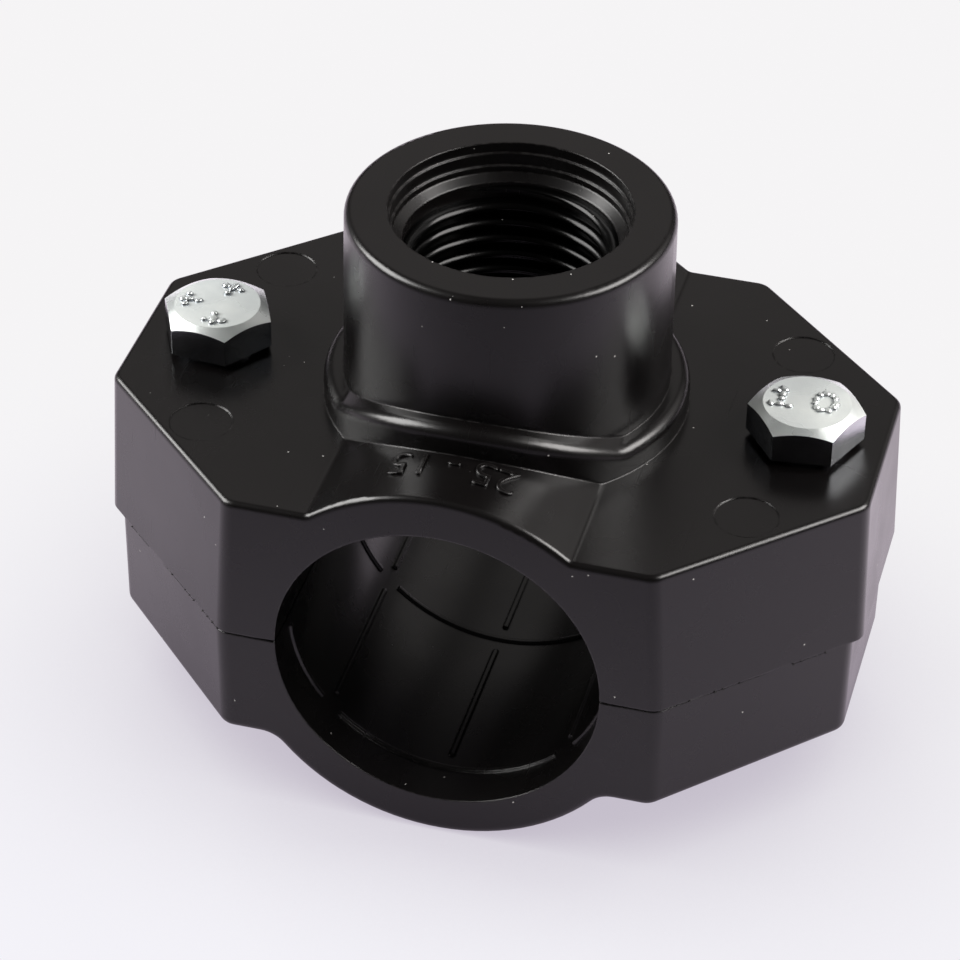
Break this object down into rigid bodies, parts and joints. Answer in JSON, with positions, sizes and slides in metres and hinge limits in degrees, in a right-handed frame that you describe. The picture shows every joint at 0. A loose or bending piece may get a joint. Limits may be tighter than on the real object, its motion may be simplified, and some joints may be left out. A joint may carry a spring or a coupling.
{
  "type": "tapping saddle",
  "caption": "Black plastic clamp saddle that bolts round a run pipe and gives it a threaded branch outlet, with a rubber seal ring, hex bolts and captive nuts.",
  "frame": {"origin": "where the run pipe's axis crosses the outlet's axis, on the parting plane of the two half shells", "axes": "+Z along the outlet, away from the pipe; +Y along the run pipe; +X across the pipe, through both bolts"},
  "size_m": [0.0774, 0.0512, 0.0578],
  "materials": {
    "black_polypropylene": "satin moulded",
    "zinc_plated_steel": "bright zinc plating",
    "nitrile_rubber": "matte"
  },
  "bodies": {
    "upper_half": {"upper_saddle": "black_polypropylene", "seal_ring": "nitrile_rubber"},
    "lower_half": {"lower_saddle": "black_polypropylene", "nut_left": "zinc_plated_steel", "nut_right": "zinc_plated_steel"},
    "left_bolt": {"bolt_left": "zinc_plated_steel"},
    "right_bolt": {"bolt_right": "zinc_plated_steel"}
  },
  "joints": [
    {"name": "left_bolt_turn", "type": "hinge", "parent": "upper_half", "child": "left_bolt", "pos_m": [-0.03, 0, 0.0159], "axis": [0, 0, 1], "range_deg": [0, 2700]},
    {"name": "right_bolt_turn", "type": "hinge", "parent": "upper_half", "child": "right_bolt", "pos_m": [0.03, 0, 0.0159], "axis": [0, 0, 1], "range_deg": [0, 2700]},
    {"name": "lower_half_slide", "type": "slide", "parent": "upper_half", "child": "lower_half", "axis": [0, 0, -1], "range_m": [0, 0.0075]}
  ],
  "couplings": [
    {"joint": "left_bolt_turn", "follows": "lower_half_slide", "rad_per_m": 6283.2},
    {"joint": "right_bolt_turn", "follows": "lower_half_slide", "rad_per_m": 6283.2}
  ]
}
